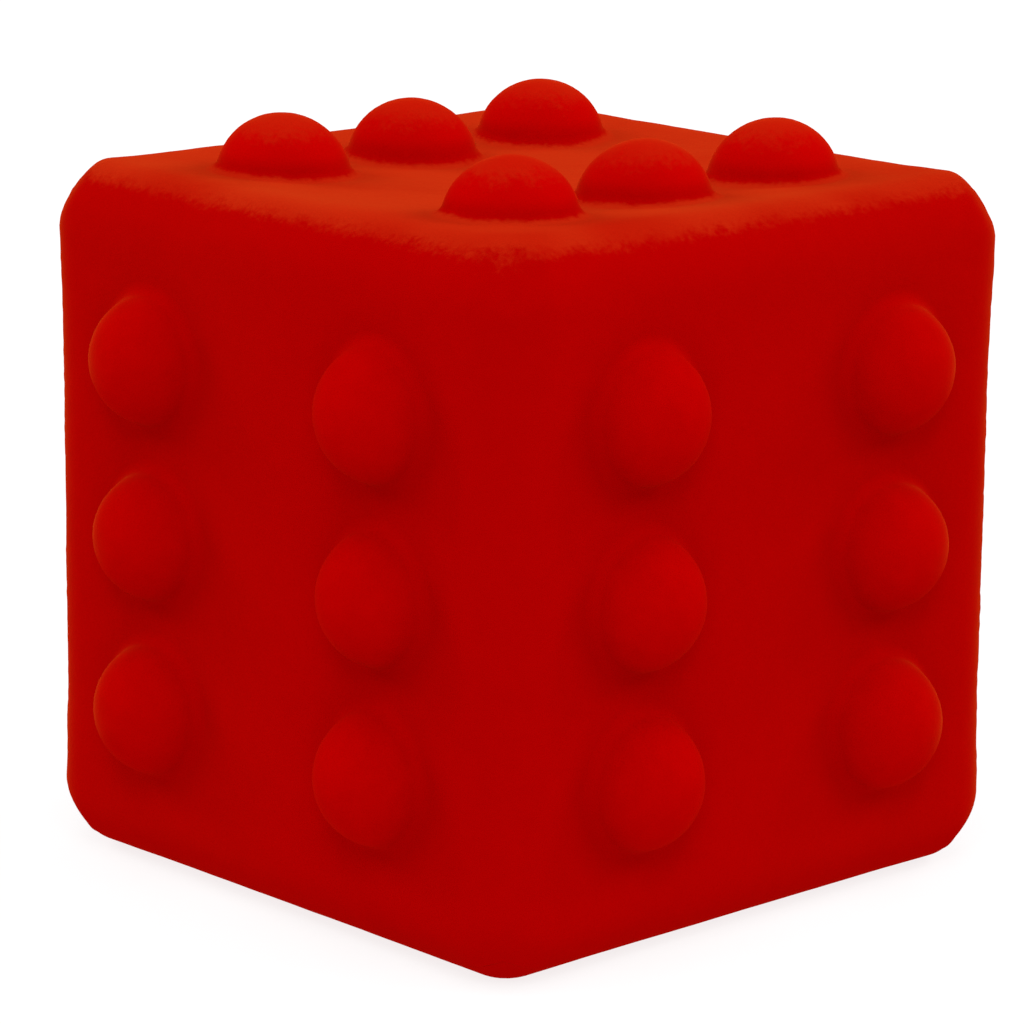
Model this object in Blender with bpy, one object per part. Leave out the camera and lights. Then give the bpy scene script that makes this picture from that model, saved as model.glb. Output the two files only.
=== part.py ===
"""A giant yard die: a soft rubber skin, moulded in two halves, bonded round a block of foam.

Five faces carry two rows of three domes, and the die stands on the sixth, which is flat. It is a
little taller than it is wide. The origin is on the ground under the die's middle, +Z is up, and
the two halves meet along a zigzag of six edges. The front half carries the +X, -Y and +Z faces. The rear half is the same shape
turned half a turn about the X = Y line, but its third face is the flat bottom, which is pierced
for the plug where the foam goes in and for the plug where the air comes out.
"""

import math

import bmesh
import bpy
from mathutils import Matrix, Vector

# Driving dimensions, in metres.
FACE_WIDTH = 0.089
BODY_HEIGHT = 0.0915
EDGE_RADIUS = 0.0085
WALL = 0.005
INNER_EDGE_RADIUS = 0.004
GAP = 0.0003

DOME_RADIUS = 0.0088
DOME_HEIGHT = 0.0076
DOME_TIP_FLAT = 0.0014
DOME_ROOT = 0.0015
COLUMN_OFFSET = 0.0215
ROW_PITCH = 0.0228

HEAD_THICKNESS = 0.0016
HEAD_RECESS = 0.0004
FILL_PLUG = {"head": 0.0085, "stem": 0.0055, "barb": 0.0070, "tip": 0.0042, "barb_length": 0.0045}
VENT_PLUG = {"head": 0.0036, "stem": 0.0020, "barb": 0.0028, "tip": 0.0014, "barb_length": 0.0025}
VENT_OFFSET = ROW_PITCH

EDGE_SEGMENTS = 5
DOME_SIDES = 20
DOME_RINGS = 4
PLUG_SIDES = 24

HALF_WIDTH = FACE_WIDTH / 2
HALF_HEIGHT = BODY_HEIGHT / 2

# The outward direction of each domed face, and the direction in which its rows of three run.
SIDE_FACES = (
    (Vector((1, 0, 0)), Vector((0, 0, 1))),
    (Vector((0, -1, 0)), Vector((0, 0, 1))),
)
TOP_FACE = ((Vector((0, 0, 1)), Vector((0, 1, 0))),)
FRONT_CORNER = Vector((1, -1, 1))

RUBBER_RED = (0.42, 0.006, 0.003)
PLUG_RED = (0.30, 0.006, 0.004)
FOAM_CREAM = (0.78, 0.72, 0.58)


def clear_scene():
    for obj in list(bpy.data.objects):
        bpy.data.objects.remove(obj, do_unlink=True)


def make_material(name, colour, roughness):
    material = bpy.data.materials.new(name)
    material.use_nodes = True
    shader = material.node_tree.nodes["Principled BSDF"]
    shader.inputs["Base Color"].default_value = (*colour, 1.0)
    shader.inputs["Roughness"].default_value = roughness
    shader.inputs["Metallic"].default_value = 0.0
    return material


def object_from_bmesh(name, bm):
    mesh = bpy.data.meshes.new(name)
    bmesh.ops.recalc_face_normals(bm, faces=bm.faces)
    bm.to_mesh(mesh)
    bm.free()
    obj = bpy.data.objects.new(name, mesh)
    bpy.context.scene.collection.objects.link(obj)
    return obj


def as_cutter(obj):
    obj.hide_render = True
    obj.display_type = "WIRE"
    return obj


def rounded_block(name, inset, radius, segments):
    """The die's body without its domes, made smaller by this inset on every side."""
    half_width = HALF_WIDTH - inset
    half_height = HALF_HEIGHT - inset
    bm = bmesh.new()
    bmesh.ops.create_cube(bm, size=2)
    bmesh.ops.scale(bm, vec=(half_width, half_width, half_height), verts=bm.verts[:])
    bmesh.ops.bevel(bm, geom=bm.edges[:], offset=radius, segments=segments, profile=0.5, affect="EDGES")
    return object_from_bmesh(name, bm)


def add_turned_solid(bm, profile, sides, placement):
    """Turns (radius, height) points into a closed solid with flat ends, and places it."""
    rings = []
    for radius, height in profile:
        ring = []
        for step in range(sides):
            angle = 2 * math.pi * step / sides
            point = Vector((radius * math.cos(angle), radius * math.sin(angle), height))
            ring.append(bm.verts.new(placement @ point))
        rings.append(ring)
    for lower, upper in zip(rings, rings[1:]):
        for step in range(sides):
            after = (step + 1) % sides
            bm.faces.new((lower[step], lower[after], upper[after], upper[step]))
    bm.faces.new(list(reversed(rings[0])))
    bm.faces.new(rings[-1])


def dome_profile():
    """A spherical cap on a short root, from the root inside the wall up to a small flat tip."""
    sphere_radius = (DOME_RADIUS**2 + DOME_HEIGHT**2) / (2 * DOME_HEIGHT)
    sphere_depth = sphere_radius - DOME_HEIGHT
    base_angle = math.asin(sphere_depth / sphere_radius)
    tip_angle = math.acos(DOME_TIP_FLAT / sphere_radius)
    points = [(DOME_RADIUS, -DOME_ROOT)]
    for ring in range(DOME_RINGS + 1):
        angle = base_angle + (tip_angle - base_angle) * ring / DOME_RINGS
        points.append((sphere_radius * math.cos(angle), sphere_radius * math.sin(angle) - sphere_depth))
    points[-1] = (DOME_TIP_FLAT, DOME_HEIGHT)
    return points


def domes_on(faces):
    """Two rows of three domes on each of these faces, about the die's middle.

    The domes are all as far out from the middle. The body's top is higher than its sides are far
    out, so the top domes are set a little deeper into it.
    """
    profile = dome_profile()
    bm = bmesh.new()
    for outward, along in faces:
        across = along.cross(outward)
        turn = Matrix((across, along, across.cross(along))).transposed().to_4x4()
        for side in (-1, 1):
            for row in (-1, 0, 1):
                base = outward * HALF_WIDTH + across * side * COLUMN_OFFSET + along * row * ROW_PITCH
                add_turned_solid(bm, profile, DOME_SIDES, Matrix.Translation(base) @ turn)
    return object_from_bmesh("domes", bm)


def front_side():
    """The space that belongs to the front half: three pyramids from the middle to its faces.

    It is moved along the diagonal, so that each mitre face stands half a gap back.
    """
    reach = Matrix.Diagonal((FACE_WIDTH, FACE_WIDTH, BODY_HEIGHT))
    shift = FRONT_CORNER.normalized() * (GAP / 2) * math.sqrt(3 / 2)
    bm = bmesh.new()
    middle = bm.verts.new(shift)
    corner = bm.verts.new(reach @ FRONT_CORNER + shift)
    zigzag = []
    for signs in ((1, 1, 1), (-1, 1, 1), (-1, -1, 1), (-1, -1, -1), (1, -1, -1), (1, 1, -1)):
        zigzag.append(bm.verts.new(reach @ Vector(signs) + shift))
    for start in (0, 2, 4):
        bm.faces.new((corner, zigzag[start], zigzag[(start + 1) % 6], zigzag[(start + 2) % 6]))
    for start in range(6):
        bm.faces.new((middle, zigzag[(start + 1) % 6], zigzag[start]))
    return object_from_bmesh("front_side", bm)


def add_boolean(obj, operation, other):
    modifier = obj.modifiers.new(other.name, "BOOLEAN")
    modifier.operation = operation
    modifier.solver = "EXACT"
    modifier.object = other


def moulded_half(name, domed_faces):
    """The mesh of a moulded half in the front half's place, about the die's middle."""
    half = rounded_block("half", 0, EDGE_RADIUS, EDGE_SEGMENTS)
    cavity = rounded_block("cavity", WALL, INNER_EDGE_RADIUS, EDGE_SEGMENTS)
    helpers = [cavity, domes_on(domed_faces), front_side()]
    for operation, helper in zip(("DIFFERENCE", "UNION", "INTERSECT"), helpers):
        add_boolean(half, operation, helper)
    evaluated = half.evaluated_get(bpy.context.evaluated_depsgraph_get())
    mesh = bpy.data.meshes.new_from_object(evaluated)
    mesh.name = name
    for helper in [half, *helpers]:
        bpy.data.objects.remove(helper, do_unlink=True)
    return mesh


def plug_profile(plug):
    """Up the plug from its head, just short of the skin's face, to the tip of the barb in the foam."""
    barb_start = WALL + GAP
    return [
        (plug["head"], HEAD_RECESS),
        (plug["head"], HEAD_RECESS + HEAD_THICKNESS),
        (plug["stem"], HEAD_RECESS + HEAD_THICKNESS),
        (plug["stem"], barb_start),
        (plug["barb"], barb_start),
        (plug["tip"], barb_start + plug["barb_length"]),
    ]


def wall_socket_profile(plug):
    """The counterbore and the hole that the plug passes through in the skin."""
    return [
        (plug["head"] + GAP, -WALL),
        (plug["head"] + GAP, HEAD_RECESS + HEAD_THICKNESS + GAP),
        (plug["stem"] + GAP, HEAD_RECESS + HEAD_THICKNESS + GAP),
        (plug["stem"] + GAP, 2 * WALL),
    ]


def foam_socket_profile(plug):
    """The round pocket in the foam that the barb sits in."""
    return [
        (plug["barb"] + GAP, 0.0),
        (plug["barb"] + GAP, WALL + 2 * GAP + plug["barb_length"]),
    ]


def turned_object(name, profile, location):
    bm = bmesh.new()
    add_turned_solid(bm, profile, PLUG_SIDES, Matrix())
    obj = object_from_bmesh(name, bm)
    obj.location = location
    return obj


def shade(obj, material, crease_degrees):
    obj.data.materials.clear()
    obj.data.materials.append(material)
    obj.data.shade_smooth()
    obj.data.set_sharp_from_angle(angle=math.radians(crease_degrees))


def build():
    clear_scene()
    rubber = make_material("skin_rubber", RUBBER_RED, 0.8)
    plug_rubber = make_material("plug_rubber", PLUG_RED, 0.7)
    foam = make_material("core_foam", FOAM_CREAM, 1.0)

    middle = bpy.data.objects.new("middle", None)
    middle.location = (0, 0, HALF_HEIGHT)
    bpy.context.scene.collection.objects.link(middle)

    for name, domed_faces in (("front_shell", SIDE_FACES + TOP_FACE), ("rear_shell", SIDE_FACES)):
        shell = bpy.data.objects.new(name, moulded_half(name, domed_faces))
        bpy.context.scene.collection.objects.link(shell)
        shell.parent = middle
        shade(shell, rubber, 35)
    rear_shell = bpy.data.objects["rear_shell"]
    rear_shell.rotation_mode = "AXIS_ANGLE"
    rear_shell.rotation_axis_angle = (math.pi, math.sqrt(0.5), math.sqrt(0.5), 0)

    core = rounded_block("foam_core", WALL + GAP, INNER_EDGE_RADIUS - GAP, EDGE_SEGMENTS)
    core.parent = middle
    shade(core, foam, 35)

    for name, plug, offset in (("fill_plug", FILL_PLUG, 0), ("vent_plug", VENT_PLUG, VENT_OFFSET)):
        place = Vector((offset, 0, -HALF_HEIGHT))
        solid = turned_object(name, plug_profile(plug), place)
        wall_socket = as_cutter(turned_object(name + "_hole", wall_socket_profile(plug), place))
        foam_socket = as_cutter(turned_object(name + "_pocket", foam_socket_profile(plug), place))
        for piece in (solid, wall_socket, foam_socket):
            piece.parent = middle
        shade(solid, plug_rubber, 35)
        add_boolean(rear_shell, "DIFFERENCE", wall_socket)
        add_boolean(core, "DIFFERENCE", foam_socket)


build()
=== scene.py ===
"""Looks of the giant yard die: a matte red rubber skin in two moulded halves over a foam block.

Each half of the skin is one closed mesh made from three face patches. A patch is a square grid of
lines that bends round each dome, runs over the rounded edge and ends on the edge's mitre line.
"""

import math
import random

import bmesh
import bpy
import numpy as np
from mathutils import Matrix, Vector, noise


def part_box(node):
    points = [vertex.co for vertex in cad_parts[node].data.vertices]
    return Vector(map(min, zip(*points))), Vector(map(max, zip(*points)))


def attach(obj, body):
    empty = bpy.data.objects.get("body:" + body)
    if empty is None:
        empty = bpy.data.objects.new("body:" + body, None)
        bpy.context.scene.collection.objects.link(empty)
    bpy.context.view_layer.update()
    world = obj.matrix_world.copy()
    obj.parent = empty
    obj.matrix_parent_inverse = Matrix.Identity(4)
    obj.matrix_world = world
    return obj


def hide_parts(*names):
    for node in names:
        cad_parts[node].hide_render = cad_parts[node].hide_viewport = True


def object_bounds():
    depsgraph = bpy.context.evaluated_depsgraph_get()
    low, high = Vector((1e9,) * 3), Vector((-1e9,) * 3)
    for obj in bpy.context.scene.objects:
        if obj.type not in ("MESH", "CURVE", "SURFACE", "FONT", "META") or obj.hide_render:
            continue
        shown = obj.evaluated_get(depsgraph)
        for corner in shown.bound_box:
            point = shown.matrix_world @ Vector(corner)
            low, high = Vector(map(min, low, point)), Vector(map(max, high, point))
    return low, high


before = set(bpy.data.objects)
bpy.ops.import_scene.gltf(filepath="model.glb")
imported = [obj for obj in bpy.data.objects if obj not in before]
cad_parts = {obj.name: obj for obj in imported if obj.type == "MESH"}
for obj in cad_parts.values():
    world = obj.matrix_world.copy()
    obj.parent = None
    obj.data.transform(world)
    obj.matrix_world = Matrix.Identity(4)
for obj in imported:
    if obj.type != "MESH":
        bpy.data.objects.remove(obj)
CAD_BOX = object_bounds()

MM = 0.001

# Driving sizes. The foam fills the skin, so its box and the wall give the body's width and height.
# The domes' tips are all as far from the middle, and the box of the whole die gives how far.
FOAM_LOW, FOAM_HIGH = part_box("foam_core")
WALL = 5.0 * MM
FOAM_GAP = 0.3 * MM
HALF_WIDTH = (FOAM_HIGH[0] - FOAM_LOW[0]) / 2 + WALL + FOAM_GAP
HALF_HEIGHT = (FOAM_HIGH[2] - FOAM_LOW[2]) / 2 + WALL + FOAM_GAP
BODY_WIDTH = 2 * HALF_WIDTH
BODY_TOP = 2 * HALF_HEIGHT
MIDDLE = Vector((0, 0, HALF_HEIGHT))
EDGE_RADIUS = 8.5 * MM
INNER_EDGE_RADIUS = 4.0 * MM
MITRE = math.radians(45)

# The domes: two columns of three, each a little different, as moulded ones are.
DOME_HEIGHT = (CAD_BOX[1][0] - CAD_BOX[0][0]) / 2 - HALF_WIDTH
DOME_RADIUS = 8.6 * MM
CREASE_RADIUS = 1.8 * MM
COLUMN_OFFSET = 21.5 * MM
ROW_PITCH = 22.8 * MM
ROWS = 3
DOME_PLACES = [(column, row) for column in (0, 2) for row in range(ROWS)]
DOME_UNEVEN = 0.015
DOME_SHIFT = 0.3 * MM
DRAW_SEED = 11

# How the soft body departs from a cube: dished faces, a raised top rim, proud edges and corners,
# corners cut blunt beyond a diagonal distance from the middle, and a body that is taller than wide.
DISH_DEPTH = 0.7 * MM
TOP_LIFT = 1.7 * MM
SIDE_SPREAD = 0.35 * MM
CORNER_SPREAD = 0.8 * MM
CORNER_REACH = 70.2 * MM
CORNER_BLEND = 1.6 * MM
CORNER_CUT = 0.55
FLARE_POWER = 4
TOP_POWER = 8
TOP_SQUARENESS = 2.5
BASE_DROP = HALF_HEIGHT - HALF_WIDTH
DROP_START = 31 * MM
DROP_END = 39 * MM

# The parting line: a narrow gap with an unevenly trimmed bead on both its sides.
SEAM_GAP = 0.05 * MM
BEAD_HEIGHT = 0.16 * MM
BEAD_WIDTH = 0.45 * MM
BEAD_MEAN = 0.55
BEAD_LEAST = 0.1
BEAD_WAVES = ((0.6, 160), (0.5, 900))

# Slow unevenness of the surfaces, as pairs of depth and waves per metre.
SKIN_WAVES = ((0.09 * MM, 70), (0.05 * MM, 210), (0.02 * MM, 620))
FOAM_WAVES = ((0.1 * MM, 120), (0.06 * MM, 500))
FOAM_INSET = 0.12 * MM
SETTLED_HEIGHT = 2 * MM

# The plugs, by their cell in the base. Shares are of the radius of the plug's head, or of the
# stem's for the taper and the counterbore's for the hole.
PLUGS = {(1, 1): "fill_plug", (1, 2): "vent_plug"}
STEM_SHARES = {"fill_plug": 0.647, "vent_plug": 0.556}
HOLE_SHARE = 0.68
POCKET_SHARE = 0.82
BARB_OVERHANG = 0.17
BARB_TAPER = 0.76
HEAD_THICKNESS = 1.6 * MM
HEAD_DISH = 0.25 * MM
HEAD_DISH_SHARES = (0.45, 0.55)
PLUG_CLEARANCE = 0.15 * MM
BARB_CLEARANCE = 0.3 * MM
HOLE_LIP = 0.25 * MM
HOLE_LIP_SOFT = 0.3
POCKET_CHAMFER = (0.3 * MM, 0.4 * MM)
PLUG_ROUNDING = 0.3 * MM
ROUNDING_STEPS = 3
ROUNDING_SHARE = 0.45
PLUG_SIDES = 96

# A patch's grid lines: how many per cell, and at which angles over half the rounded edge. On the
# flat rim between the two there are a few more.
OUTER_GRID = (42, (5, 10, 15, 20, 25, 30, 35, 39, 41.5, 43, 44, 45))
INNER_GRID = (6, (15, 30, 45))
FOAM_GRID = (24, (9, 18, 27, 36, 45))
RIM_LINES = 2
DOME_RINGS = 12
CREASE_RINGS = 6
HOLE_RINGS = 6
POCKET_RINGS = 4
WELD = 0.002 * MM
SMALLEST = 0.001 * MM
ABOVE_ZERO = 1e-12

# Each face as its outward direction and its +v direction. The rear half is the front one turned.
SIDES = ("low_u", "high_u", "low_v", "high_v")
FRONT_CORNER = Vector((1, -1, 1))
FRONT_FACES = (
    (Vector((1, 0, 0)), Vector((0, 0, 1))),
    (Vector((0, -1, 0)), Vector((0, 0, 1))),
    (Vector((0, 0, 1)), Vector((0, 1, 0))),
)
REAR_FACES = (
    (Vector((0, 1, 0)), Vector((0, 0, -1))),
    (Vector((-1, 0, 0)), Vector((0, 0, -1))),
    (Vector((0, 0, -1)), Vector((1, 0, 0))),
)
HALF_TURN = Matrix.Rotation(math.pi, 4, Vector((1, 1, 0)))

# The camera: angles in degrees, and its distance and the offsets of its aim in body widths.
CAMERA_AZIMUTH = 46.9
CAMERA_ELEVATION = 13.5
CAMERA_ROLL = 0.56
CAMERA_DISTANCE = 6.81
CAMERA_RIGHT = -0.016
CAMERA_UP = -0.001
SENSOR_WIDTH = 36
LENS = 163.4414

# Softboxes: name, azimuth and elevation in degrees, distance and width in metres, watts.
LIGHTS = (
    ("top_softbox", CAMERA_AZIMUTH, 80, 1.8, 1.2, 8.3),
    ("front_softbox", CAMERA_AZIMUTH, 43, 2.0, 1.0, 15.6),
    ("left_softbox", CAMERA_AZIMUTH - 76, 36, 2.0, 0.8, 4.6),
    ("right_softbox", CAMERA_AZIMUTH + 76, 36, 2.0, 0.8, 6.9),
    ("left_rim_softbox", CAMERA_AZIMUTH - 118, 30, 1.8, 0.8, 12.4),
    ("right_rim_softbox", CAMERA_AZIMUTH + 118, 30, 1.8, 0.8, 13.6),
)
WORLD_STRENGTH = 0.35

# The round paper cove under and behind the die, in metres, and how bright its paper is.
COVE_RADIUS = 4.0
COVE_BEND = 0.5
COVE_HEIGHT = 0.9
COVE_MIDDLE = 0.3
COVE_STEPS = 12
COVE_SIDES = 128
FLOOR_GAP = 0.02 * MM
PAPER_TONE = 0.18
PAPER_GLOW = 0.83

# The rubber's grain and mottling, in waves per metre, and their bumps as distance and strength.
GRAIN_SCALE = 1500
MOTTLE_SCALE = 420
CLOUD_SCALE = 38
CLOUD_SHARE = 0.35
TONE_RANGE = (0.35, 0.65)
GRAIN_BUMP = (0.10 * MM, 0.5)
MOTTLE_BUMP = (0.12 * MM, 0.35)
RUBBER_ROUGHNESS = (0.78, 0.95)

# Painted top light, warm light from above: how far the surface faces up, from 0 to 1, where it
# starts and where full, how ragged its edge is, its patchiness, and its share on the top's domes.
PAINTED_TOP_LIGHT_START = 0.6
PAINTED_TOP_LIGHT_END = 0.93
GRAIN_RAGGED = 0.4
MOTTLE_RAGGED = 0.35
PAINTED_TOP_LIGHT_CLOUD = (0.3, 0.58)
PAINTED_TOP_LIGHT_LEAST = 0.45
DOME_PAINTED_TOP_LIGHT = 0.5

# Heights over which the painted top light, the domes' own share of it, and their painted light set
# in.
PAINTED_TOP_LIGHT_HEIGHTS = (BODY_TOP - EDGE_RADIUS - 5 * MM, BODY_TOP - EDGE_RADIUS - 1 * MM)
DOME_HEIGHTS = (BODY_TOP + TOP_LIFT - 0.5 * MM, BODY_TOP + TOP_LIFT + 2 * MM)
TOP_DOME_PAINTED_LIGHT_HEIGHTS = (BODY_TOP, BODY_TOP + 2 * MM)

# The rubber is painted lightest on the domes and has painted shade, darkest, in the crease beside
# and below each side dome. Distances from the dome's axis: where the dome's painted light ends,
# and where the crease's painted shade ends.
# The share of the painted crease shade that the flat face gets, away from the domes.
FACE_PAINTED_SHADE = 0.5
DOME_PAINTED_LIGHT_END = (7.8 * MM, 9.3 * MM)
CREASE_PAINTED_SHADE_END = (10.0 * MM, 14.5 * MM)
# How much less painted shade the crease gets above a dome than below it.
LESS_PAINTED_SHADE_ABOVE = 0.75

# The sheen is whole up to this far towards the front edge, measured along +X and -Y, and worn off
# beyond it. It fades out where the surface faces down.
SHEEN_WEIGHT = 0.19
SHEEN_LEAST = 0.02
SHEEN_WHOLE = 36 * MM
SHEEN_WORN = 56 * MM
SHEEN_FACING = (-0.5, 0.1)
SHEEN_ROUGHNESS = 0.3
SHEEN_TINT = (1.0, 0.24, 0.03)

# The foam's pores, with painted shade at their bottoms, and its stains, in cells and waves per
# metre.
PORE_SCALE = 900
PORE_RANGE = (0.0, 0.45)
PORE_BUMP = (0.4 * MM, 0.9)
PORE_PAINTED_SHADE = (0.52, 0.45, 0.33)
FOAM_COLOUR = (0.80, 0.74, 0.60)
STAIN_SCALE = 60
STAIN_SHARE = 0.2


def smooth_step(values, low, high):
    """Smoothly from 0 at low to 1 at high."""
    share = np.clip((values - low) / (high - low), 0, 1)
    return share**2 * (3 - 2 * share)


def waves(place, layers):
    """Several noises at a place, each with its own depth and its own number of waves per metre."""
    return sum(depth * noise.noise(place * per_metre) for depth, per_metre in layers)


# ---------------------------------------------------------------- face patches


def edge_lines(cell_ends, cell_lines, rim_end, angles):
    """Grid lines across a face: where each stands on the flat, and its angle round the edge."""
    cells = []
    for start, end in zip(cell_ends, cell_ends[1:]):
        cells += list(np.linspace(start, end, cell_lines, endpoint=False))
    cells.append(cell_ends[-1])
    rim = list(np.linspace(cell_ends[-1], rim_end, RIM_LINES + 1)[1:])
    flat = [-x for x in rim[::-1]] + cells + rim
    arc = [math.radians(angle) for angle in angles]
    angle = [-x for x in arc[::-1]] + [0.0] * len(flat) + arc
    flat = [-rim_end] * len(arc) + flat + [rim_end] * len(arc)
    return np.array(flat), np.array(angle)


def ring_places(cell_lines):
    """For each point of a square cell: its ring, its direction, and its place on the outline."""
    half = cell_lines // 2
    steps = np.arange(-half, half + 1)
    a, b = np.meshgrid(steps, steps, indexing="ij")
    ring = np.maximum(np.abs(a), np.abs(b))
    safe = np.maximum(ring, 1)
    rise = b / np.where(a == 0, 1, a) * math.pi / 4
    lean = a / np.where(b == 0, 1, b) * math.pi / 4
    sideways = np.where(a >= 0, rise, rise + math.pi)
    upright = np.where(b > 0, math.pi / 2 - lean, -math.pi / 2 - lean)
    turn = np.where(np.abs(a) >= np.abs(b), sideways, upright)
    return ring, turn, a / safe, b / safe


def square_ring(i, j, reach):
    """The grid places round a square of the grid, once round, starting on the +u side."""
    places = [(i + reach, j + b) for b in range(0, reach)]
    places += [(i + a, j + reach) for a in range(reach, -reach, -1)]
    places += [(i - reach, j + b) for b in range(reach, -reach, -1)]
    places += [(i + a, j - reach) for a in range(-reach, reach)]
    places += [(i + reach, j + b) for b in range(-reach, 0)]
    return places


class Patch:
    """One face of a half: a grid of points, out to the middle of the rounded edge on every side."""

    def __init__(self, half_width, edge_radius, cell_lines, angles, cells):
        reach_u = COLUMN_OFFSET + ROW_PITCH / 2
        inner_u = COLUMN_OFFSET - ROW_PITCH / 2
        reach_v = ROWS / 2 * ROW_PITCH
        self.ends_u = (-reach_u, -inner_u, inner_u, reach_u)
        self.ends_v = (-reach_v, -ROW_PITCH / 2, ROW_PITCH / 2, reach_v)
        self.cell_lines = cell_lines
        self.first = len(angles) + RIM_LINES
        self.edge_radius = edge_radius
        self.flat_end = half_width - edge_radius
        flat_u, self.angle = edge_lines(self.ends_u, cell_lines, self.flat_end, angles)
        flat_v, _ = edge_lines(self.ends_v, cell_lines, self.flat_end, angles)
        # Round the edge, the lines of u and of v move to one shared spacing, so neighbours meet.
        shared = (flat_u + flat_v) / 2
        round_edge = np.abs(self.angle) / MITRE
        self.u = flat_u[:, None] + (shared - flat_u)[:, None] * round_edge[None, :]
        self.v = flat_v[None, :] + (shared - flat_v)[None, :] * round_edge[:, None]
        self.height = np.zeros_like(self.u)
        self.kept = np.ones((len(flat_u) - 1, len(flat_u) - 1), bool)
        self.holes = {}
        self.domes = []
        for (column, row), cell in cells.items():
            self.shape_cell(column, row, cell)

    def shape_cell(self, column, row, cell):
        """Bends one cell's lines round a dome or a hole."""
        half = self.cell_lines // 2
        ring, turn, out_u, out_v = ring_places(self.cell_lines)
        profile = np.array(cell["profile"])
        low_u, high_u = self.ends_u[column], self.ends_u[column + 1]
        low_v, high_v = self.ends_v[row], self.ends_v[row + 1]
        middle = np.array(((low_u + high_u) / 2, (low_v + high_v) / 2))
        outline_u = middle[0] + (high_u - low_u) / 2 * out_u
        outline_v = middle[1] + (high_v - low_v) / 2 * out_v
        centre = middle + np.array(cell.get("moved", (0.0, 0.0)))
        if profile[0, 1] > 0:
            self.domes.append(centre)
        last = len(profile) - 1
        inside = np.minimum(ring, last)
        radius, height = profile[inside, 0], profile[inside, 1]
        spread = np.clip((ring - last) / (half - last), 0, 1)
        circle_u = centre[0] + radius * np.cos(turn)
        circle_v = centre[1] + radius * np.sin(turn)
        i0 = self.first + column * self.cell_lines
        j0 = self.first + row * self.cell_lines
        where = (slice(i0, i0 + self.cell_lines + 1), slice(j0, j0 + self.cell_lines + 1))
        self.u[where] = circle_u + (outline_u - circle_u) * spread
        self.v[where] = circle_v + (outline_v - circle_v) * spread
        self.height[where] = height * (1 - spread)
        opened = cell.get("open", 0)
        if opened:
            i1, j1 = i0 + half, j0 + half
            self.kept[i1 - opened:i1 + opened, j1 - opened:j1 + opened] = False
            self.holes[(column, row)] = square_ring(i1, j1, opened)

    def points(self, dish):
        """The patch's points, with u, v and outwards as x, y and z."""
        flat = np.zeros_like(self.u)
        slope = np.tan(self.angle)
        outward = np.stack((slope[:, None] + flat, slope[None, :] + flat, flat + 1), -1)
        outward /= np.linalg.norm(outward, axis=-1, keepdims=True)
        hollow_u = np.clip(1 - (self.u / self.flat_end) ** 2, 0, 1)
        hollow_v = np.clip(1 - (self.v / self.flat_end) ** 2, 0, 1)
        height = self.flat_end + self.height - dish * hollow_u * hollow_v
        return np.stack((self.u, self.v, height), -1) + outward * self.edge_radius

    def bead(self, beaded):
        """How much of the parting line's bead each point carries, along the sides that have it."""
        away = (MITRE - np.abs(self.angle)) * self.edge_radius
        ridge = np.exp(-((away / BEAD_WIDTH) ** 2))
        lower = np.arange(len(ridge)) < len(ridge) / 2
        low_u, high_u, low_v, high_v = (side in beaded for side in SIDES)
        across = ridge * np.where(lower, low_u, high_u)
        along = ridge * np.where(lower, low_v, high_v)
        return np.maximum(across[:, None], along[None, :])

    def painted_shade(self, up):
        """How much painted shade each point gets, from 0 on a dome, painted lightest, to 1 in a
        crease.

        Up is +1 or -1 where +v points up or down, and 0 on a level face, which gets no painted
        crease shade.
        """
        painted_crease_shade = np.zeros_like(self.u)
        beside = np.ones_like(self.u)
        for centre in self.domes:
            away = np.hypot(self.u - centre[0], self.v - centre[1])
            above = np.clip(up * (self.v - centre[1]) / np.maximum(away, MM), 0, 1)
            left = (1 - smooth_step(away, *CREASE_PAINTED_SHADE_END)) * (1 - LESS_PAINTED_SHADE_ABOVE * above)
            painted_crease_shade = np.maximum(painted_crease_shade, left)
            beside = np.minimum(beside, smooth_step(away, *DOME_PAINTED_LIGHT_END))
        return beside * (FACE_PAINTED_SHADE + (1 - FACE_PAINTED_SHADE) * painted_crease_shade * abs(up))


# ---------------------------------------------------------------- gathering patches


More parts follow.
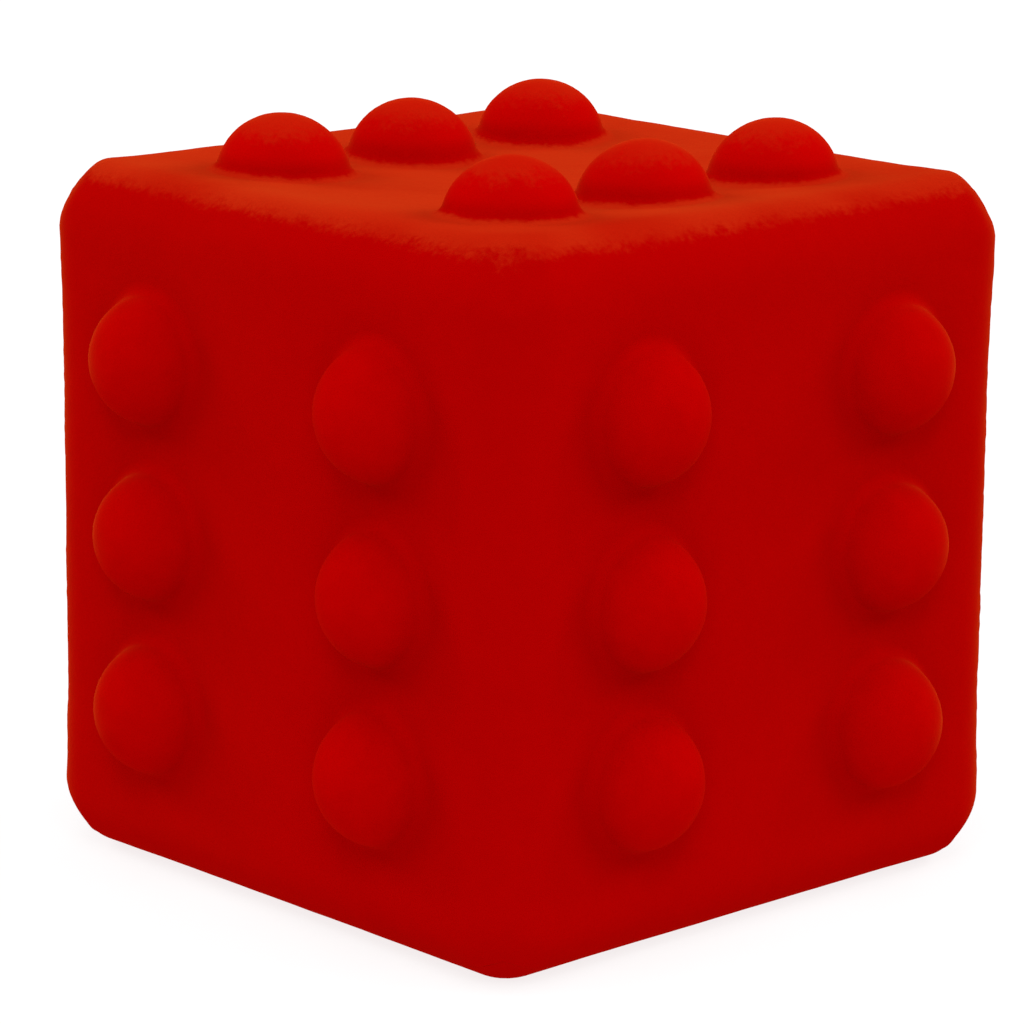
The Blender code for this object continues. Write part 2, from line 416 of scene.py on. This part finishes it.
class Skin:
    """Gathers the points and faces of patches into one closed mesh."""

    def __init__(self):
        self.points = []
        self.beads = []
        self.painted_shades = []
        self.faces = []
        self.count = 0

    def add_patch(self, patch, outward, along, dish=0.0, inside_out=False, beaded=(), up=0):
        """Places a patch on its face and returns its point numbers as a grid."""
        points = patch.points(dish)
        axes = np.array((along.cross(outward), along, outward))
        self.points.append((points @ axes).reshape(-1, 3))
        self.beads.append(patch.bead(beaded).reshape(-1))
        self.painted_shades.append(patch.painted_shade(up).reshape(-1))
        lines = points.shape[0]
        numbers = self.count + np.arange(lines * lines).reshape(lines, lines)
        self.count += lines * lines
        corners = (numbers[:-1, :-1], numbers[1:, :-1], numbers[1:, 1:], numbers[:-1, 1:])
        quads = np.stack(corners, -1)[patch.kept]
        if inside_out:
            quads = quads[:, ::-1]
        self.faces += quads.tolist()
        return numbers

    def stitch(self, outer, inner):
        """Joins two lines of points that have different counts with a strip of triangles."""
        a, b = 0, 0
        last_a, last_b = len(outer) - 1, len(inner) - 1
        while a < last_a or b < last_b:
            if b == last_b or (a < last_a and (a + 1) / last_a <= (b + 1) / last_b):
                self.faces.append((outer[a], outer[a + 1], inner[b]))
                a += 1
            else:
                self.faces.append((outer[a], inner[b + 1], inner[b]))
                b += 1

    def mesh(self):
        """The gathered points and faces as a bmesh, with the patches joined where they meet."""
        bm = bmesh.new()
        bead_layer = bm.verts.layers.float.new("bead")
        # This layer carries each point's painted shade and light to the material.
        painted_shade_layer = bm.verts.layers.float.new("painted_shade")
        verts = [bm.verts.new(point) for point in np.concatenate(self.points)]
        beads, painted_shades = np.concatenate(self.beads), np.concatenate(self.painted_shades)
        for vert, bead, painted_shade in zip(verts, beads, painted_shades):
            vert[bead_layer] = bead
            vert[painted_shade_layer] = painted_shade
        for face in self.faces:
            bm.faces.new([verts[number] for number in face])
        bmesh.ops.remove_doubles(bm, verts=bm.verts[:], dist=WELD)
        loose = [vert for vert in bm.verts if not vert.link_faces]
        bmesh.ops.delete(bm, geom=loose, context="VERTS")
        bmesh.ops.recalc_face_normals(bm, faces=bm.faces[:])
        return bm


def finished(name, bm):
    """Turns a bmesh into a smooth object in the scene."""
    mesh = bpy.data.meshes.new(name)
    bm.to_mesh(mesh)
    bm.free()
    mesh.shade_smooth()
    obj = bpy.data.objects.new(name, mesh)
    bpy.context.scene.collection.objects.link(obj)
    return obj


# ---------------------------------------------------------------- the body's form


def squared_top(places):
    """Pushes the rounded edges of the top out to a tighter curve that leaves the sides later."""
    outside = np.clip(np.abs(places) - (HALF_WIDTH - EDGE_RADIUS), 0, None)
    outside[places[:, 2] < 0, 2] = 0
    level, rise = np.hypot(outside[:, 0], outside[:, 1]), outside[:, 2]
    reach = np.maximum(np.hypot(level, rise), SMALLEST)
    power = TOP_SQUARENESS
    length = (level / reach) ** power + (rise / reach) ** power + ABOVE_ZERO
    grown = length ** (-1 / power)
    grown = np.where((level > 0) & (rise > 0), grown, 1)
    return places + np.sign(places) * outside * (grown - 1)[:, None]


def flare(bm):
    """Turns the cube into the real body: taller at the bottom, with edges proud of the faces.

    Every move depends on a point's place alone, so the halves and the foam change alike.
    """
    places = np.array([vert.co for vert in bm.verts])
    lowered = smooth_step(-places[:, 2], DROP_START, DROP_END)
    places = squared_top(places)
    near = np.clip(np.abs(places) / HALF_WIDTH, 0, 1)
    near_x, near_y, near_z = (near**FLARE_POWER).T
    corner = near_x * near_y * near_z
    either_x = near_y + near_z - near_y * near_z
    either_y = near_x + near_z - near_x * near_z
    either_z = near_x + near_y - near_x * near_y
    sign_x, sign_y, sign_z = np.sign(places).T
    raised = TOP_LIFT * near[:, 2] ** TOP_POWER * either_z
    move_x = sign_x * (SIDE_SPREAD * near_x * either_x + CORNER_SPREAD * corner)
    move_y = sign_y * (SIDE_SPREAD * near_y * either_y + CORNER_SPREAD * corner)
    move_z = np.where(sign_z > 0, raised, -BASE_DROP * lowered)
    places += np.stack((move_x, move_y, move_z), -1)
    reach = np.abs(places).sum(1) / math.sqrt(3)
    past = np.clip(reach - CORNER_REACH, 0, None)
    blended = np.where(past < CORNER_BLEND, past**2 / (2 * CORNER_BLEND), past - CORNER_BLEND / 2)
    places -= np.sign(places) * (CORNER_CUT * blended)[:, None] / math.sqrt(3)
    for vert, place in zip(bm.verts, places):
        vert.co = place


def roughen(bm):
    """Gives the skin its slow waves and the bead along the parting line, but not on the ground."""
    bm.normal_update()
    bead_layer = bm.verts.layers.float["bead"]
    shifts = []
    for vert in bm.verts:
        trimmed = max(BEAD_MEAN + waves(vert.co, BEAD_WAVES), BEAD_LEAST)
        lifted = min(1.0, max(0.0, vert.co.z / SETTLED_HEIGHT))
        bead = trimmed * BEAD_HEIGHT * vert[bead_layer]
        shifts.append(lifted * (waves(vert.co, SKIN_WAVES) + bead))
    for vert, shift in zip(bm.verts, shifts):
        vert.co += vert.normal * shift


# ---------------------------------------------------------------- the skin's halves


def dome_profile(radius, height):
    """(radius, height) of each ring: down the side of a spherical cap and a small fillet."""
    sphere = (radius**2 + height**2) / (2 * height)
    sunk = sphere - height
    touch = math.acos((CREASE_RADIUS + sunk) / (sphere + CREASE_RADIUS))
    foot = math.sqrt((sphere + CREASE_RADIUS) ** 2 - (CREASE_RADIUS + sunk) ** 2)
    points = []
    for ring in range(DOME_RINGS + 1):
        angle = touch * ring / DOME_RINGS
        points.append((sphere * math.sin(angle), sphere * math.cos(angle) - sunk))
    for ring in range(1, CREASE_RINGS + 1):
        angle = touch * (1 - ring / CREASE_RINGS)
        across, down = CREASE_RADIUS * math.sin(angle), CREASE_RADIUS * math.cos(angle)
        points.append((foot - across, CREASE_RADIUS - down))
    return points


def dome_cells(draw):
    """The six domes of a face."""
    cells = {}
    for place in DOME_PLACES:
        radius = DOME_RADIUS * draw.uniform(1 - DOME_UNEVEN, 1 + DOME_UNEVEN)
        moved = (draw.uniform(-DOME_SHIFT, DOME_SHIFT), draw.uniform(-DOME_SHIFT, DOME_SHIFT))
        cells[place] = {"profile": dome_profile(radius, DOME_HEIGHT), "moved": moved}
    return cells


def hole_profile(plug_box):
    """Rings of a plug's counterbored hole, from its inner end out to the skin's surface."""
    head = (plug_box[1][0] - plug_box[0][0]) / 2 + PLUG_CLEARANCE
    stem = head * HOLE_SHARE
    lip = HOLE_LIP
    floor = -(plug_box[0][2] + HEAD_THICKNESS + PLUG_CLEARANCE)
    end = (stem, -WALL)
    bore = [end, (stem, (floor - WALL) / 2), (stem, floor - lip), (stem + lip, floor)]
    counterbore = [(head - lip, floor), (head, floor + lip), (head, -lip)]
    mouth = [(head + lip * HOLE_LIP_SOFT, -lip * HOLE_LIP_SOFT), (head + lip, 0.0)]
    return [end] * HOLE_RINGS + bore + counterbore + mouth


def hole_cells():
    """The plugs' holes: the cells of the base's outside, and those of its inside."""
    outer, inner = {}, {}
    for place, plug in PLUGS.items():
        profile = hole_profile(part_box(plug))
        outer[place] = {"profile": profile, "open": HOLE_RINGS}
        inner[place] = {"profile": [(profile[0][0], 0.0)] * 2, "open": 1}
    return outer, inner


def parting_sides(outward, along):
    """The sides of a front face on the parting line: those that face away from the corner."""
    across = along.cross(outward)
    towards = {"low_u": -across, "high_u": across, "low_v": -along, "high_v": along}
    return [side for side in SIDES if towards[side].dot(FRONT_CORNER) < 0]


def side_line(numbers, side):
    """The point numbers along one side of a patch."""
    lines = {
        "low_u": numbers[0, :],
        "high_u": numbers[-1, :],
        "low_v": numbers[:, 0],
        "high_v": numbers[:, -1],
    }
    return lines[side].tolist()


def make_half(name, turned):
    """One half of the skin as a closed mesh: outside, inside, and the mitre faces between them."""
    draw = random.Random(DRAW_SEED)
    skin = Skin()
    for outward, along in FRONT_FACES:
        is_base = turned and outward.z > 0.5
        outer_cells, inner_cells = hole_cells() if is_base else (dome_cells(draw), {})
        outer = Patch(HALF_WIDTH, EDGE_RADIUS, *OUTER_GRID, outer_cells)
        inner = Patch(HALF_WIDTH - WALL, INNER_EDGE_RADIUS, *INNER_GRID, inner_cells)
        sides = parting_sides(outward, along)
        dish = 0.0 if is_base else DISH_DEPTH
        up = along.z * (-1 if turned else 1)
        outer_numbers = skin.add_patch(outer, outward, along, dish, beaded=sides, up=up)
        inner_numbers = skin.add_patch(inner, outward, along, inside_out=True)
        for side in sides:
            skin.stitch(side_line(outer_numbers, side), side_line(inner_numbers, side))
        for place, ring in outer.holes.items():
            outer_ring = [int(outer_numbers[at]) for at in ring]
            inner_ring = [int(inner_numbers[at]) for at in inner.holes[place]]
            skin.stitch(outer_ring + outer_ring[:1], inner_ring + inner_ring[:1])
    bm = skin.mesh()
    # The mitre faces lean, so the half moves this much further to open half the gap square to them.
    shift = FRONT_CORNER.normalized() * SEAM_GAP / 2 * math.sqrt(1.5)
    turn = HALF_TURN if turned else Matrix()
    bm.transform(turn @ Matrix.Translation(shift))
    flare(bm)
    bm.transform(Matrix.Translation(MIDDLE))
    roughen(bm)
    return finished(name, bm)


# ---------------------------------------------------------------- plugs and foam


def pocket_profile(plug_box):
    """Rings of the pocket in the foam that a plug's barb sits in, from its floor outwards."""
    head = (plug_box[1][0] - plug_box[0][0]) / 2
    radius = head * POCKET_SHARE + BARB_CLEARANCE
    depth = plug_box[1][2] - WALL + BARB_CLEARANCE
    wide, deep = POCKET_CHAMFER
    floor = [(radius * ring / POCKET_RINGS, -depth) for ring in range(POCKET_RINGS + 1)]
    return floor + [(radius, -depth / 2), (radius, -deep), (radius + wide, 0.0)]


def foam_block(name):
    """The foam: a rounded block with slightly uneven faces, and pockets for the plugs' barbs."""
    skin = Skin()
    half_width = HALF_WIDTH - WALL - FOAM_GAP
    for outward, along in FRONT_FACES + REAR_FACES:
        cells = {}
        if outward.z < -0.5:
            for place, plug in PLUGS.items():
                cells[place] = {"profile": pocket_profile(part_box(plug))}
        patch = Patch(half_width, INNER_EDGE_RADIUS, *FOAM_GRID, cells)
        skin.add_patch(patch, outward, along)
    bm = skin.mesh()
    flare(bm)
    bm.transform(Matrix.Translation(MIDDLE))
    bm.normal_update()
    for vert in bm.verts:
        vert.co -= vert.normal * (FOAM_INSET + waves(vert.co, FOAM_WAVES))
    return finished(name, bm)


def turned_piece(name, profile, sides, centre, drop):
    """A closed turned solid whose profile runs up from its lower middle to its upper middle."""
    bm = bmesh.new()
    rings = []
    for radius, height in profile:
        ring = []
        for step in range(sides if radius else 1):
            angle = 2 * math.pi * step / sides
            x = centre[0] + radius * math.cos(angle)
            y = centre[1] + radius * math.sin(angle)
            ring.append(bm.verts.new((x, y, drop + height)))
        rings.append(ring)
    for lower, upper in zip(rings, rings[1:]):
        for step in range(sides):
            after = (step + 1) % sides
            below = [lower[step % len(lower)], lower[after % len(lower)]]
            above = [upper[after % len(upper)], upper[step % len(upper)]]
            bm.faces.new(list(dict.fromkeys(below + above)))
    bmesh.ops.recalc_face_normals(bm, faces=bm.faces[:])
    return finished(name, bm)


def rounded(points, radius):
    """A profile with each of its corners rounded off, apart from its two ends."""
    result = [points[0]]
    for before, corner, after in zip(points, points[1:], points[2:]):
        before, corner, after = Vector(before), Vector(corner), Vector(after)
        shorter = min((before - corner).length, (after - corner).length)
        cut = min(radius, shorter * ROUNDING_SHARE)
        start = corner + (before - corner).normalized() * cut
        end = corner + (after - corner).normalized() * cut
        for step in range(ROUNDING_STEPS + 1):
            t = step / ROUNDING_STEPS
            point = start * (1 - t) ** 2 + corner * 2 * t * (1 - t) + end * t**2
            result.append((point.x, point.y))
    result.append(points[-1])
    return result


def make_plug(name, node):
    """A rubber plug: a shallow dished head, a stem and a barb, inside the CAD plug's own box."""
    low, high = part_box(node)
    centre = ((low[0] + high[0]) / 2, (low[1] + high[1]) / 2)
    length = high[2] - low[2]
    head = (high[0] - low[0]) / 2
    stem = head * STEM_SHARES[node]
    barb = head * (STEM_SHARES[node] + BARB_OVERHANG)
    barb_height = WALL + FOAM_GAP - low[2]
    dish_floor, dish_rim = (head * share for share in HEAD_DISH_SHARES)
    dished = [(0, HEAD_DISH), (dish_floor, HEAD_DISH), (dish_rim, 0.0)]
    flange = [(head, 0.0), (head, HEAD_THICKNESS), (stem, HEAD_THICKNESS)]
    tip = [(stem, barb_height), (barb, barb_height), (stem * BARB_TAPER, length), (0, length)]
    profile = rounded(dished + flange + tip, PLUG_ROUNDING)
    return turned_piece(name, profile, PLUG_SIDES, centre, low[2])


# ---------------------------------------------------------------- materials


class Surface:
    """A procedural material: its Principled shader, and short ways to add nodes in front of it."""

    def __init__(self, name):
        self.material = bpy.data.materials.new(name)
        self.material.use_nodes = True
        self.nodes = self.material.node_tree.nodes
        self.links = self.material.node_tree.links
        self.shader = self.nodes["Principled BSDF"]

    def fill(self, socket, value):
        """Links another node's output to a socket, or sets the number or colour on it."""
        if isinstance(value, bpy.types.NodeSocket):
            self.links.new(value, socket)
        elif isinstance(value, tuple):
            socket.default_value = (*value, 1)
        else:
            socket.default_value = value

    def set(self, **inputs):
        """Fills the shader's inputs. An underscore in a name stands for a space."""
        for name, value in inputs.items():
            self.fill(self.shader.inputs[name.replace("_", " ")], value)

    def add(self, kind, inputs):
        """A new node, with its inputs filled by name or number."""
        node = self.nodes.new(kind)
        for key, value in inputs.items():
            self.fill(node.inputs[key], value)
        return node

    def coordinates(self):
        """The object-space normal and place, each as its X, Y and Z, and the place as a vector."""
        coords = self.add("ShaderNodeTexCoord", {})
        normal = self.add("ShaderNodeSeparateXYZ", {"Vector": coords.outputs["Normal"]})
        place = self.add("ShaderNodeSeparateXYZ", {"Vector": coords.outputs["Object"]})
        return normal.outputs, place.outputs, coords.outputs["Object"]

    def noise(self, vector, scale, detail, roughness=0.5):
        inputs = {"Vector": vector, "Scale": scale, "Detail": detail, "Roughness": roughness}
        return self.add("ShaderNodeTexNoise", inputs).outputs

    def bump(self, height, distance, strength):
        inputs = {"Height": height, "Distance": distance, "Strength": strength}
        return self.add("ShaderNodeBump", inputs)

    def ramp(self, factor, places, colours):
        """Runs from the first colour to the second between two places."""
        node = self.add("ShaderNodeValToRGB", {"Fac": factor})
        for element, place, colour in zip(node.color_ramp.elements, places, colours):
            element.position, element.color = place, (*colour, 1)
        return node.outputs["Color"]

    def compute(self, operation, *values):
        """A Math node's result. Each value is a number or another node's output."""
        node = self.add("ShaderNodeMath", dict(enumerate(values)))
        node.operation = operation
        return node.outputs[0]

    def ease(self, value, low, high):
        """Smoothly from 0 at low to 1 at high."""
        node = self.add("ShaderNodeMapRange", {"Value": value, "From Min": low, "From Max": high})
        node.interpolation_type = "SMOOTHSTEP"
        return node.outputs["Result"]

    def mix(self, amount, under, over, blend="MIX"):
        """Mixes a colour over another one."""
        node = self.nodes.new("ShaderNodeMix")
        node.data_type = "RGBA"
        node.blend_type = blend
        for number, value in ((0, amount), (6, under), (7, over)):
            self.fill(node.inputs[number], value)
        return node.outputs[2]


def painted_top_light_amount(surface, normal, place, grain, mottle, cloud):
    """How much painted top light the surface gets: unevenly where it faces up, with a ragged,
    grainy edge.
    """
    ragged = surface.compute("MULTIPLY_ADD", grain, GRAIN_RAGGED, normal["Z"])
    patchy = surface.compute("MULTIPLY_ADD", mottle, MOTTLE_RAGGED, ragged)
    shift = (GRAIN_RAGGED + MOTTLE_RAGGED) / 2
    up = surface.ease(patchy, PAINTED_TOP_LIGHT_START + shift, PAINTED_TOP_LIGHT_END + shift)
    high = surface.ease(place["Z"], *PAINTED_TOP_LIGHT_HEIGHTS)
    on_dome = surface.ease(place["Z"], *DOME_HEIGHTS)
    spared = surface.compute("MULTIPLY_ADD", on_dome, DOME_PAINTED_TOP_LIGHT - 1, 1.0)
    patches = surface.ease(cloud, *PAINTED_TOP_LIGHT_CLOUD)
    uneven = surface.compute("MULTIPLY_ADD", patches, 1 - PAINTED_TOP_LIGHT_LEAST, PAINTED_TOP_LIGHT_LEAST)
    amount = surface.compute("MULTIPLY", surface.compute("MULTIPLY", up, high), spared)
    return surface.compute("MULTIPLY", amount, uneven)


def sheen_share(surface, normal, place):
    """The nap's sheen: full on what faces sideways or up, and worn off near the front edge."""
    forward = surface.compute("SUBTRACT", place["X"], place["Y"])
    kept = surface.ease(forward, SHEEN_WORN, SHEEN_WHOLE)
    not_under = surface.ease(normal["Z"], *SHEEN_FACING)
    whole = surface.compute("MULTIPLY", kept, not_under)
    return surface.compute("MULTIPLY_ADD", whole, SHEEN_WEIGHT - SHEEN_LEAST, SHEEN_LEAST)


def rubber_material(name, dark, light, painted_top_light, top_dome_painted_light, painted_shade_colour):
    """Soft-touch rubber: a fine sandy grain, faint mottling and a sheen, with painted shade in its
    creases.

    Domes are painted lighter, the top's most, and what faces up gets a warm painted top light.
    """
    surface = Surface(name)
    normal, place, vector = surface.coordinates()
    grain = surface.noise(vector, GRAIN_SCALE, detail=3.0, roughness=0.6)["Fac"]
    mottle = surface.noise(vector, MOTTLE_SCALE, detail=4.0, roughness=0.55)["Fac"]
    cloud = surface.noise(vector, CLOUD_SCALE, detail=2.0)["Fac"]
    tone = surface.add("ShaderNodeMix", {0: CLOUD_SHARE, 2: mottle, 3: cloud}).outputs[0]
    # Painted shade and light: the mesh's layer darkens the creases by the side domes and leaves the
    # domes lightest.
    painted_crease_shade = surface.nodes.new("ShaderNodeAttribute")
    painted_crease_shade.attribute_name = "painted_shade"
    colour = surface.ramp(tone, TONE_RANGE, (dark, light))
    colour = surface.mix(painted_crease_shade.outputs["Fac"], colour, painted_shade_colour)
    # Painted light: what stands above the top, the top's domes, is painted lighter.
    colour = surface.mix(surface.ease(place["Z"], *TOP_DOME_PAINTED_LIGHT_HEIGHTS), colour, top_dome_painted_light)
    # Painted top light: what faces up, near the top, is painted a warmer and lighter colour.
    painted_top_light_share = painted_top_light_amount(surface, normal, place, grain, mottle, cloud)
    low, high = RUBBER_ROUGHNESS
    rough = surface.add("ShaderNodeMapRange", {"Value": mottle, "To Min": low, "To Max": high})
    coarse = surface.bump(mottle, *MOTTLE_BUMP)
    fine = surface.bump(grain, *GRAIN_BUMP)
    surface.fill(fine.inputs["Normal"], coarse.outputs["Normal"])
    surface.set(
        Base_Color=surface.mix(painted_top_light_share, colour, painted_top_light),
        Roughness=rough.outputs["Result"],
        Normal=fine.outputs["Normal"],
        Specular_IOR_Level=0.0,
        Sheen_Weight=sheen_share(surface, normal, place),
        Sheen_Roughness=SHEEN_ROUGHNESS,
        Sheen_Tint=SHEEN_TINT,
    )
    return surface.material


def foam_material(name):
    """Open-cell cream foam: round pores with painted shade at their bottoms, and faint stains."""
    surface = Surface(name)
    vector = surface.coordinates()[2]
    pores = surface.add("ShaderNodeTexVoronoi", {"Vector": vector, "Scale": PORE_SCALE})
    depth = pores.outputs["Distance"]
    stains = surface.noise(vector, STAIN_SCALE, detail=3.0)["Color"]
    tone = surface.ramp(depth, PORE_RANGE, (PORE_PAINTED_SHADE, FOAM_COLOUR))
    surface.set(
        Base_Color=surface.mix(STAIN_SHARE, tone, stains, "MULTIPLY"),
        Roughness=0.95,
        Normal=surface.bump(depth, *PORE_BUMP).outputs["Normal"],
        Specular_IOR_Level=0.2,
    )
    return surface.material


def paper_material(name):
    """Matte white paper that glows a little, so that it stays even under the softboxes."""
    surface = Surface(name)
    surface.set(
        Base_Color=(PAPER_TONE, PAPER_TONE, PAPER_TONE),
        Emission_Color=(1, 1, 1),
        Emission_Strength=PAPER_GLOW,
        Roughness=0.9,
        Specular_IOR_Level=0.1,
    )
    return surface.material


# ---------------------------------------------------------------- stage


def make_stage():
    """A round paper floor that curves up into a low wall, so that no view shows a horizon."""
    bend_start = COVE_RADIUS - COVE_BEND
    profile = [(0, 0), (COVE_MIDDLE, 0), (bend_start, 0)]
    for step in range(1, COVE_STEPS + 1):
        angle = math.pi / 2 * step / COVE_STEPS
        out, rise = COVE_BEND * math.sin(angle), COVE_BEND * (1 - math.cos(angle))
        profile.append((bend_start + out, rise))
    profile.append((COVE_RADIUS, COVE_HEIGHT))
    floor = turned_piece("floor", profile, COVE_SIDES, (0, 0), -FLOOR_GAP)
    floor.data.materials.append(paper_material("floor_paper"))

    world = bpy.data.worlds.new("studio")
    bpy.context.scene.world = world
    world.use_nodes = True
    background = world.node_tree.nodes["Background"]
    background.inputs["Color"].default_value = (1, 1, 1, 1)
    background.inputs["Strength"].default_value = WORLD_STRENGTH


def view_direction(azimuth, elevation):
    """The direction out from the die at these angles in degrees, with 0 looking along +Y."""
    azimuth, elevation = math.radians(azimuth), math.radians(elevation)
    level = math.cos(elevation)
    return Vector((math.sin(azimuth) * level, -math.cos(azimuth) * level, math.sin(elevation)))


def add_light(name, azimuth, elevation, distance, size, watts):
    """A square softbox that faces the middle of the die."""
    place = MIDDLE + view_direction(azimuth, elevation) * distance
    data = bpy.data.lights.new(name, "AREA")
    data.size = size
    data.energy = watts
    lamp = bpy.data.objects.new(name, data)
    lamp.location = place
    lamp.rotation_euler = (MIDDLE - place).to_track_quat("-Z", "Y").to_euler()
    bpy.context.scene.collection.objects.link(lamp)


def make_camera():
    """A long lens that looks a little down on the front edge, slightly rolled."""
    back = view_direction(CAMERA_AZIMUTH, CAMERA_ELEVATION)
    right = view_direction(CAMERA_AZIMUTH + 90, 0)
    up = back.cross(right)
    offset = back * CAMERA_DISTANCE + right * CAMERA_RIGHT + up * CAMERA_UP
    data = bpy.data.cameras.new("camera")
    data.sensor_width = SENSOR_WIDTH
    data.lens = LENS
    camera = bpy.data.objects.new("camera", data)
    place = Matrix.Translation(MIDDLE + offset * BODY_WIDTH)
    axes = Matrix((right, up, back)).transposed().to_4x4()
    roll = Matrix.Rotation(math.radians(CAMERA_ROLL), 4, "Z")
    camera.matrix_world = place @ axes @ roll
    bpy.context.scene.collection.objects.link(camera)
    bpy.context.scene.camera = camera


# ---------------------------------------------------------------- making it


def dress(piece, material, node):
    """Gives a piece its material, attaches it to the root body, and hides the CAD node it stands
    for.
    """
    piece.data.materials.append(material)
    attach(piece, "root")
    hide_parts(node)


make_stage()
for light in LIGHTS:
    add_light(*light)
make_camera()

# In each rubber the last three colours are painted: warm light on what faces up, light on the top's
# domes, and shade in the creases.
skin_rubber = rubber_material(
    "skin_rubber_velvet",
    dark=(0.364, 0.0001, 0.0002),
    light=(0.390, 0.0002, 0.0003),
    painted_top_light=(0.420, 0.0140, 0.0024),
    top_dome_painted_light=(0.430, 0.0002, 0.0003),
    painted_shade_colour=(0.330, 0.0001, 0.0002),
)
plug_rubber = rubber_material(
    "plug_rubber_matte",
    dark=(0.22, 0.0015, 0.001),
    light=(0.30, 0.003, 0.002),
    painted_top_light=(0.30, 0.006, 0.002),
    top_dome_painted_light=(0.30, 0.003, 0.002),
    painted_shade_colour=(0.18, 0.001, 0.001),
)
foam_cream = foam_material("core_foam_cream")

front = make_half("front_skin", False)
rear = make_half("rear_skin", True)
foam = foam_block("foam_block")
port_plug = make_plug("port_plug", "fill_plug")
air_plug = make_plug("air_plug", "vent_plug")

dress(front, skin_rubber, "front_shell")
dress(rear, skin_rubber, "rear_shell")
dress(foam, foam_cream, "foam_core")
dress(port_plug, plug_rubber, "fill_plug")
dress(air_plug, plug_rubber, "vent_plug")

bpy.context.scene.view_settings.view_transform = "Standard"
